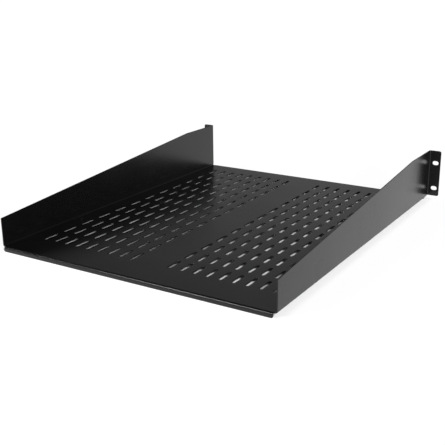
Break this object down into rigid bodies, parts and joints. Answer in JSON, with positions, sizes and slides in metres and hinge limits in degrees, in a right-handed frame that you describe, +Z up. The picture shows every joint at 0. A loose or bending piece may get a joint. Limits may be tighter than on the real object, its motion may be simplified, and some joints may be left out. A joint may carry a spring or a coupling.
{
  "type": "rack shelf",
  "caption": "Vented cantilever rack shelf folded from sheet steel: flat slotted floor, side walls that slope to the rear, slotted front ears and short down-turned lips.",
  "frame": {"origin": "middle of the shelf's overall box, level with the lower edges of its two lips", "axes": "+Z up, -Y towards the ears at the front, +Y towards the rear lip, X across"},
  "size_m": [0.4826, 0.558, 0.0881],
  "materials": {
    "powder_coat": "satin black powder coat on steel sheet"
  },
  "bodies": {
    "root": {"shelf": "powder_coat"}
  },
  "joints": []
}
